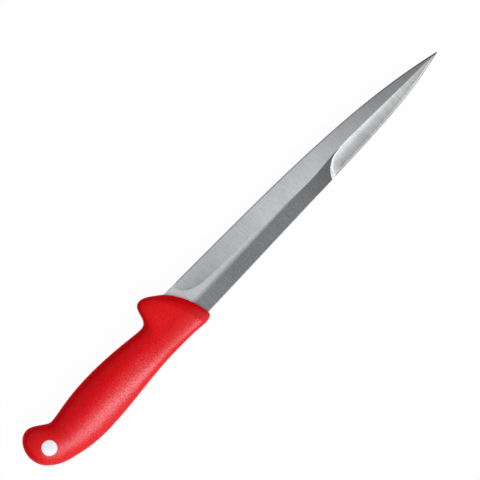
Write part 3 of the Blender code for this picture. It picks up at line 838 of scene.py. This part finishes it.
def plug_mesh(handle, radius, rim):
    """A round plug whose two ends follow the flanks of the handle."""
    form = BVHTree.FromObject(handle, bpy.context.evaluated_depsgraph_get())
    # Each ring has its share of the radius, and how far it lies below the flank.
    rings = [(share, 0) for share in (0.2, 0.4, 0.6, 0.8)]
    for angle in (0, 20, 45, 70, 90):
        turn = math.radians(angle)
        rings.append(((radius - rim + rim * math.sin(turn)) / radius, rim * (1 - math.cos(turn))))
    shape = bmesh.new()
    rims = []
    for up in (1, -1):
        start = Vector((PLUG_X + DATUM.x, PLUG_Y + DATUM.y, DATUM.z + up * 50 * MM))
        down = Vector((0, 0, -up))
        rows = []
        for share, drop in rings:
            hits = [form.ray_cast(start + Vector((x, y, 0)), down)[0]
                    for x, y in circle(0, 0, radius * share)]
            rows.append([shape.verts.new((hit.x, hit.y, hit.z - up * drop)) for hit in hits])
        middle = shape.verts.new(form.ray_cast(start, down)[0])
        for index in range(CIRCLE_STEPS):
            follow = (index + 1) % CIRCLE_STEPS
            shape.faces.new((middle, rows[0][index], rows[0][follow]))
        for row, after in zip(rows, rows[1:]):
            bridge(shape, row, after)
        rims.append(rows[-1])
    bridge(shape, *rims)
    mesh = bpy.data.meshes.new("plug")
    fill_mesh(shape, mesh)
    return mesh


def bridge(shape, ring, after):
    """Faces between two rings of as many places."""
    for index in range(len(ring)):
        follow = (index + 1) % len(ring)
        shape.faces.new((ring[index], after[index], after[follow], ring[follow]))


def new_material(name, roughness, metallic):
    made = bpy.data.materials.new(name)
    made.use_nodes = True
    shader = made.node_tree.nodes["Principled BSDF"]
    shader.inputs["Roughness"].default_value = roughness
    shader.inputs["Metallic"].default_value = metallic
    return made, shader, Tree(made.node_tree)


def moulded_plastic(name, colour, roughness, gloss, grain, grain_depth):
    """Plain moulded plastic with a fine matt grain, worn glossier along its back side."""
    made, shader, build = new_material(name, roughness, metallic=0.0)
    place = build.node("ShaderNodeTexCoord").outputs["Object"]
    apart = build.node("ShaderNodeSeparateXYZ", place).outputs
    x = build.minus(apart[0], DATUM.x)
    y = build.minus(apart[1], DATUM.y)
    # The worn strip follows the back side, which bends at the butt and at the guard.
    y = build.plus(y, build.through(x, (
        (-0.125, -0.004), (-0.095, 0), (-0.05, 0), (-0.034, 0.005))))
    on_back = build.times(gloss, build.through(x, (
        (-0.12, 0.75), (-0.09, 1), (-0.05, 1), (-0.03, 0.85))))
    on_flank = build.times(gloss, build.ramp(x, -0.12, -0.09, 0.32, 0.22))
    # Surfaces that turn away from the eye are matter, the flank's more than the back's.
    away = build.node("ShaderNodeLayerWeight").outputs["Facing"]
    turned = build.ramp(away, build.ramp(y, 0.005, 0.015, 0.2, 0.12),
                        build.ramp(y, 0.005, 0.015, 0.5, 0.3), 1.0,
                        build.ramp(y, 0.005, 0.015, 0.15, 0.03))
    worn = build.times(build.ramp(y, 0.003, 0.0155, on_back, on_flank), turned)
    # The grain glints most on the grip, less at the butt and at the guard.
    contrast = build.through(x, ((-0.115, 0.45), (-0.095, 0.85), (-0.045, 0.85), (-0.025, 0.5)))
    fine = build.noise(place, 1 / grain, 2.0, 0.6)
    glints = build.vary(fine, build.minus(1, contrast), build.plus(1, contrast))
    build.feed(shader.inputs["Specular IOR Level"], build.times(worn, glints))
    shader.inputs["Specular Tint"].default_value = (0.9, 0.93, 1.0, 1)
    cloud = build.vary(build.noise(place, 90.0, 3.0), 0.98, 1.02)
    speckle = build.vary(fine, 0.97, 1.03)
    shade = build.value((*colour, 1), build.times(cloud, speckle))
    build.feed(shader.inputs["Base Color"], shade)
    build.feed(shader.inputs["Roughness"], build.vary(fine, roughness - 0.06, roughness + 0.06))
    build.feed(shader.inputs["Normal"], build.bump(fine, 1.0, grain_depth))
    return made


def grey(level, cool=1.0):
    """Grey with a slight lean to blue; cool says how much of that lean it has."""
    return (level, level * (1 + 0.02 * cool), level * (1 + 0.06 * cool), 1)


def band_colour(build, sizes, place, x, way):
    """The flat band along the back, dark in a painted reflection that darkens towards the ground
    back and varies at random, and the root that leans in past it, brighter in a painted reflection.
    """
    band = build.greys(way, ((0.0, sizes.band_tone), (0.16, sizes.band_tone * 0.86),
                             (0.4, sizes.band_tone * 0.84), (0.55, sizes.band_far_tone)))
    band = build.value(band, build.vary(build.noise(place, 1100.0, 1.0), 0.85, 1.15))
    border = build.ramp(x, 0.03, 0.07, 1.5, 0.8)
    # Painted reflection: the leaning root is painted brighter than the band.
    root = build.ramp(build.attribute("leaning"), build.times(border, -1), border)
    root = build.times(root, build.ramp(x, 0.07, 0.1, 1, 0))
    return build.blend(root, band, grey(sizes.root_tone))


def main_colour(build, sizes, x, way):
    """The main ground face in painted reflection, brightest in its middle and on the wall of its
    plunge.
    """
    main = build.greys(way, ((0.0, sizes.heel_tone), (0.31, sizes.middle_tone),
                             (0.51, sizes.heel_tone * 1.35), (0.64, sizes.heel_tone * 1.04),
                             (0.78, sizes.point_tone * 1.6), (1.0, sizes.point_tone)))
    # Painted reflection across the face: at the heel lighter towards the edge, further along
    # slightly darker towards it.
    across = build.ramp(build.attribute("to_edge"), 1, 12, -1, 1)
    slant = build.times(across, build.through(x, ((0, -0.2), (0.03, 0), (0.09, 0.06))))
    main = build.value(main, build.plus(slant, 1))
    # The plunge's wall gets a lighter tone, a painted reflection.
    return build.blend(build.zone("main_wall", -0.3, 0.3), main, build.value(main, 1.65))


def back_colour(build, sizes, x, spread):
    """The ground back in painted reflection, from its dark start at the back to its bright ridge.
    """
    from_back = build.attribute("to_back")
    tone = sizes.swedge_tone
    swedge = build.greys(build.ramp(from_back, 0, 10), (
        (0.15, tone * 0.48), (0.55, tone * 0.65), (0.7, tone * 0.85), (0.85, tone * 1.08),
        (1.0, tone * 1.25)), 0.3)
    # Painted reflection: the ground back is brighter towards the point.
    swedge = build.value(swedge, build.ramp(x, 0.14, 0.175, 1.0, 1.22))
    # The wall of its plunge, painted brighter where it is steepest, as painted reflection.
    wall = build.value(grey(tone, 0.3), build.through(from_back, (
        (1.5, 1.12), (5, 0.88), (7, 0.85))))
    steep = build.attribute("back_wall")
    wall = build.value(wall, build.ramp(
        steep, -0.4, 0.1, build.ramp(from_back, 5, 7, 0.92, 1.12),
        build.ramp(from_back, 5, 7, 1.15, 0.82)))
    wall = build.value(wall, build.ramp(
        steep, 0.1, 0.8, 1, build.ramp(from_back, 5, 7, 1.4, 1)))
    swedge = build.blend(build.zone("back_wall", -5, 0.3), swedge, wall)
    # A painted highlight on the ridge just past the plunge.
    from_ridge = build.attribute("back_ground")
    swedge = build.value(swedge, build.ramp(from_ridge, -0.15, 0.05, build.math(
        "MULTIPLY_ADD", spread, 1.4, 1), 1))
    painted_ridge_highlight = build.through(x, ((0.12, 1), (0.124, 1.25), (0.132, 1.18), (0.14, 1.03)))
    return build.value(swedge, build.ramp(from_ridge, -0.1, 1.4, painted_ridge_highlight, 1))


def with_bevels(build, x, colour):
    """The steel's colour with the painted reflections of the sharpened edge and of the sharpened
    back.
    """
    # Painted reflection: the edge bevel shows as a dark line, darker towards the point.
    edge = build.value(grey(0.3), build.through(x, (
        (0.05, 1.0), (0.09, 0.8), (0.13, 0.85), (0.165, 0.5), (0.2, 0.25))))
    colour = build.blend(build.zone("edge_bevel"), colour, edge)
    # Painted reflection: the back bevel shows as dark and light lines, brighter towards the point.
    back = build.greys(build.ramp(build.attribute("to_back"), 0, 1.2), (
        (0.0, 0.17), (0.3, 0.11), (0.5, 0.125), (0.75, 0.2), (1.0, 0.145)), 0.3)
    back = build.value(back, build.ramp(x, 0.15, 0.188, 0.95, 1.3))
    return build.blend(build.zone("back_bevel"), colour, back)


def ground_steel(sizes):
    """Steel with fine strokes of the grinding belt, whose sheet and ground faces carry painted
    reflections: dark on the flat sheet, bright on the ground faces.

    Places along the blade are in metres, and distances from its lines in millimetres.
    """
    made, shader, build = new_material("ground_steel", roughness=0.34, metallic=1.0)
    place = build.node("ShaderNodeTexCoord").outputs["Object"]
    x = build.minus(build.node("ShaderNodeSeparateXYZ", place).outputs[0], DATUM.x)
    way = build.ramp(x, 0, BLADE_LENGTH)
    # Past the plunge of the ground back, the ground faces meet in a softer border.
    spread = build.ramp(x, 0.119, 0.125, 0, 0.4)
    on_main = build.plus(build.attribute("main_ground"), spread)
    on_back = build.plus(build.attribute("back_ground"), spread)
    on_back = build.ramp(on_back, -0.12, 0.12)
    colour = build.blend(build.ramp(on_main, -0.3, 0.2), band_colour(build, sizes, place, x, way),
                         main_colour(build, sizes, x, way))
    colour = build.blend(on_back, colour, back_colour(build, sizes, x, spread))
    colour = with_bevels(build, x, colour)
    # The last millimetres darken towards the point.
    colour = build.value(colour, build.through(x, ((0.196, 1), (0.201, 0.65), (0.204, 0.12))))
    # Strokes run across the blade: fine ones all over, and broad ones on the ground back.
    fine = build.noise(build.vector("MULTIPLY", place, (1600.0, 150.0, 150.0)), 1.0)
    broad = build.noise(build.vector("MULTIPLY", place, (550.0, 55.0, 55.0)), 1.0)
    colour = build.value(colour, build.ramp(on_back, 0, 1, 1, build.vary(broad, 0.92, 1.08)))
    grain = build.vary(build.noise(place, 1500.0, 1.0), 0.93, 1.07)
    cloud = build.vary(build.noise(place, 60.0, 3.0), 0.97, 1.03)
    uneven = build.minus(build.times(build.vary(fine, 0.94, 1.06), grain, cloud), 1)
    uneven = build.times(uneven, build.ramp(on_back, 0, 1, 1, 0.3))
    build.feed(shader.inputs["Base Color"], build.value(colour, build.plus(uneven, 1)))
    build.feed(shader.inputs["Roughness"], build.vary(fine, 0.31, 0.37))
    strength = build.ramp(on_back, 0, 1, 0.3, 0)
    build.feed(shader.inputs["Normal"], build.bump(fine, strength, 0.0000015))
    return made


def stand_in(piece, node):
    """Lets a finished piece take the place of a solid of the frame."""
    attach(piece, "root")
    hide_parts(node)


def length(name, description, default):
    return FloatProperty(name=name, description=description, default=default, unit="LENGTH",
                         subtype="DISTANCE", precision=5)


def tone(name, description, default):
    return FloatProperty(name=name, description=description, default=default, min=0, max=1)


def colour(name, description, default):
    return FloatVectorProperty(name=name, description=description, default=default, size=3,
                               subtype="COLOR", min=0, max=1)


class KnifeHandleSettings(bpy.types.PropertyGroup):
    """Sizes and colour of the moulded handle"""
    mouth_thickness: length("Mouth", "Thickness of the handle's front at the blade", 0.01)
    guard_thickness: length("Guard", "Thickness at the finger guard", 0.023)
    waist_thickness: length("Waist", "Thickness behind the guard", 0.021)
    belly_thickness: length("Belly", "Thickness in the middle of the grip", 0.023)
    neck_thickness: length("Neck", "Thickness in front of the butt", 0.0216)
    butt_thickness: length("Butt", "Thickness at the hooked butt", 0.022)
    front_rounding: length("Front Rounding", "Length over which the front swells", 0.0072)
    end_rounding: length("End Rounding", "Length over which the butt closes", 0.009)
    mouth_bulge: length("Mouth Bulge", "How far the front curves out", 0.00245)
    colour: colour("Colour", "Colour of the moulded plastic", (0.68, 0.002, 0.005))
    grain: length("Grain", "Width of the fine matt grain", 0.0007)


class KnifeBladeSettings(bpy.types.PropertyGroup):
    """Sizes and tones of the ground blade"""
    stock: length("Stock", "Thickness of the steel sheet", 0.0025)
    grind_width: length("Grind", "Width of the main ground face", 0.0131)
    swedge_width: length("Ground Back", "Width of the ground face along the back", 0.0129)
    edge_bevel: length("Edge Bevel", "Width of the sharpening bevel on the edge", 0.0006)
    back_bevel: length("Back Bevel", "Width of the sharpening bevel on the back", 0.0012)
    # The tones are painted reflections: how bright each face of the steel is painted.
    band_tone: tone("Band", "Brightness of the flat band at the handle", 0.188)
    band_far_tone: tone("Band End", "Brightness of the flat band at the ground back", 0.109)
    root_tone: tone("Root", "Brightness of the root above the flat band", 0.45)
    heel_tone: tone("Heel", "Brightness of the main ground face at the heel", 0.349)
    middle_tone: tone("Middle", "Brightness of the main ground face at its middle", 0.484)
    point_tone: tone("Point", "Brightness of the main ground face at the point", 0.166)
    swedge_tone: tone("Back", "Brightness of the ground back at the ridge", 0.42)


class KnifePlugSettings(bpy.types.PropertyGroup):
    """Sizes and colour of the plug in the butt"""
    diameter: length("Diameter", "Diameter of the plug", 0.0094)
    rim: length("Rim", "Rounding of the plug's rim", 0.00025)
    colour: colour("Colour", "Colour of the plug", (0.82, 0.84, 0.87))


class KnifeStageSettings(bpy.types.PropertyGroup):
    """Light and shadow of the stage"""
    ambient: tone("Ambient", "Brightness of the surroundings", 0.42)
    key: FloatProperty(name="Key Light", description="Strength of the soft key light",
                       default=2.3, min=0)
    key_tilt: FloatProperty(name="Key Tilt", description="Angle of the key light from upright",
                            default=math.radians(40), subtype="ANGLE", unit="ROTATION")
    shadow: tone("Shadow", "How much of the floor's shadow shows", 0.03)


class MakeHandle(bpy.types.Operator):
    """Make the moulded handle with its slot for the tang and its bore for the plug"""
    bl_idname = "knife.handle"
    bl_label = "Handle"

    def execute(self, context):
        sizes = context.scene.knife_handle
        red = moulded_plastic("red_moulded_plastic", sizes.colour, roughness=0.38, gloss=0.7,
                              grain=sizes.grain, grain_depth=0.15 * MM)
        handle = handle_form(sizes, red)
        radius = context.scene.knife_plug.diameter / 2 + BORE_GAP
        bore = extruded("plug_bore", circle(PLUG_X, PLUG_Y, radius), half_height=20 * MM)
        slot = tang_slot(context.scene.knife_blade.stock)
        mesh = cut_away(handle, [slot, bore])
        mesh.shade_smooth()
        mesh.set_sharp_from_angle(angle=math.radians(40))
        stand_in(handle, "handle")
        return {"FINISHED"}


class MakePlug(bpy.types.Operator):
    """Make the plug whose two ends lie flush in the flanks of the handle"""
    bl_idname = "knife.plug"
    bl_label = "Plug"

    def execute(self, context):
        sizes = context.scene.knife_plug
        white = moulded_plastic("white_plug_plastic", sizes.colour, roughness=0.4, gloss=0.3,
                                grain=0.5 * MM, grain_depth=0.008 * MM)
        form = handle_form(context.scene.knife_handle, white)
        plug = new_object("plug", plug_mesh(form, sizes.diameter / 2, sizes.rim))
        bpy.data.objects.remove(form)
        plug.data.materials.append(white)
        plug.data.shade_smooth()
        stand_in(plug, "butt_plug")
        return {"FINISHED"}


class MakeBlade(bpy.types.Operator):
    """Make the ground blade with its hidden tang"""
    bl_idname = "knife.blade"
    bl_label = "Blade"

    def execute(self, context):
        sizes = context.scene.knife_blade
        blade = new_object("ground_blade", blade_mesh(sizes))
        blade.data.materials.append(ground_steel(sizes))
        turn_faces_out(blade.data)
        blade.data.shade_smooth()
        blade.data.set_sharp_from_angle(angle=math.radians(35))
        stand_in(blade, "blade")
        return {"FINISHED"}


class MakeStage(bpy.types.Operator):
    """Set the white floor, the soft light and the camera"""
    bl_idname = "knife.stage"
    bl_label = "Stage"

    def execute(self, context):
        sizes = context.scene.knife_stage
        scene = context.scene
        scene.view_settings.view_transform = "Standard"
        self.floor(sizes)
        self.surroundings(sizes, scene)
        light = bpy.data.lights.new("soft_key", "SUN")
        light.energy = sizes.key
        light.angle = math.radians(KEY_WIDTH)
        key = new_object("soft_key", light)
        key.rotation_euler = (sizes.key_tilt, 0, 0)
        lens = bpy.data.cameras.new("camera")
        lens.lens = CAMERA_LENS
        lens.sensor_width = CAMERA_FILM
        camera = new_object("camera", lens)
        camera.location = CAMERA_PLACE
        camera.rotation_euler = (0, 0, math.radians(CAMERA_TURN))
        scene.camera = camera
        return {"FINISHED"}

    def seen(self, build):
        """1 for rays that show the surroundings: straight, mirrored or through glass."""
        path = build.node("ShaderNodeLightPath")
        total = build.plus(path.outputs["Is Camera Ray"], path.outputs["Is Glossy Ray"])
        return build.math("ADD", total, path.outputs["Is Transmission Ray"], clamp=True)

    def floor(self, sizes):
        """A matt floor that shows plain white, with a faint share of its own shadow."""
        mesh = bpy.data.meshes.new("floor")
        corners = [(-1, -1), (1, -1), (1, 1), (-1, 1)]
        mesh.from_pydata([(x * FLOOR_REACH, y * FLOOR_REACH, 0) for x, y in corners], [],
                         [(0, 1, 2, 3)])
        floor = new_object("floor", mesh)
        made, shader, build = new_material("white_floor", roughness=0.9, metallic=0.0)
        shader.inputs["Base Color"].default_value = (0.95, 0.95, 0.95, 1)
        shader.inputs["Specular IOR Level"].default_value = 0.0
        glow = build.node("ShaderNodeEmission", (1, 1, 1, 1), 1.0)
        mix = build.node("ShaderNodeMixShader")
        share = build.times(self.seen(build), 1 - sizes.shadow)
        build.feed(mix.inputs[0], share)
        build.feed(mix.inputs[1], shader.outputs[0])
        build.feed(mix.inputs[2], glow.outputs[0])
        output = made.node_tree.nodes["Material Output"]
        build.feed(output.inputs["Surface"], mix.outputs[0])
        mesh.materials.append(made)

    def surroundings(self, sizes, scene):
        """White all round, but dimmer to both sides for what the steel mirrors."""
        world = bpy.data.worlds.new("white_studio")
        scene.world = world
        world.use_nodes = True
        build = Tree(world.node_tree)
        direction = build.node("ShaderNodeTexCoord").outputs["Generated"]
        edge_side = build.towards(direction, (0.35, 0.94, 0))
        back_side = build.towards(direction, (0, -1, 0))
        sides = build.times(build.ramp(edge_side, 0.15, 0.9, 1.0, 0.35),
                            build.ramp(back_side, 0.6, 0.9, 1.0, 0.55))
        mirrored = build.node("ShaderNodeLightPath").outputs["Is Glossy Ray"]
        dimmed = build.ramp(mirrored, 0, 1, 1.0, sides)
        strength = build.times(dimmed, build.ramp(self.seen(build), 0, 1, sizes.ambient, 1.0))
        background = world.node_tree.nodes["Background"]
        background.inputs["Color"].default_value = (1, 1, 1, 1)
        build.feed(background.inputs["Strength"], strength)


class KnifePanel(bpy.types.Panel):
    """Lists the pieces of the knife with their sizes and colours"""
    bl_idname = "VIEW3D_PT_sticking_knife"
    bl_label = "Sticking Knife"
    bl_space_type = "VIEW_3D"
    bl_region_type = "UI"
    bl_category = "Knife"

    def draw(self, context):
        for piece in ("handle", "plug", "blade", "stage"):
            box = self.layout.box()
            group = getattr(context.scene, f"knife_{piece}")
            for name in group.__annotations__:
                box.prop(group, name)
            box.operator(f"knife.{piece}")


GROUPS = {
    "knife_handle": KnifeHandleSettings,
    "knife_blade": KnifeBladeSettings,
    "knife_plug": KnifePlugSettings,
    "knife_stage": KnifeStageSettings,
}
CLASSES = (*GROUPS.values(), MakeHandle, MakePlug, MakeBlade, MakeStage, KnifePanel)


def register():
    for made in CLASSES:
        bpy.utils.register_class(made)
    for name, group in GROUPS.items():
        setattr(bpy.types.Scene, name, PointerProperty(type=group))


def unregister():
    for name in GROUPS:
        delattr(bpy.types.Scene, name)
    for made in reversed(CLASSES):
        bpy.utils.unregister_class(made)


def main():
    register()
    bpy.ops.knife.handle()
    bpy.ops.knife.plug()
    bpy.ops.knife.blade()
    bpy.ops.knife.stage()
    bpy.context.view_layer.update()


if __name__ == "__main__":
    main()
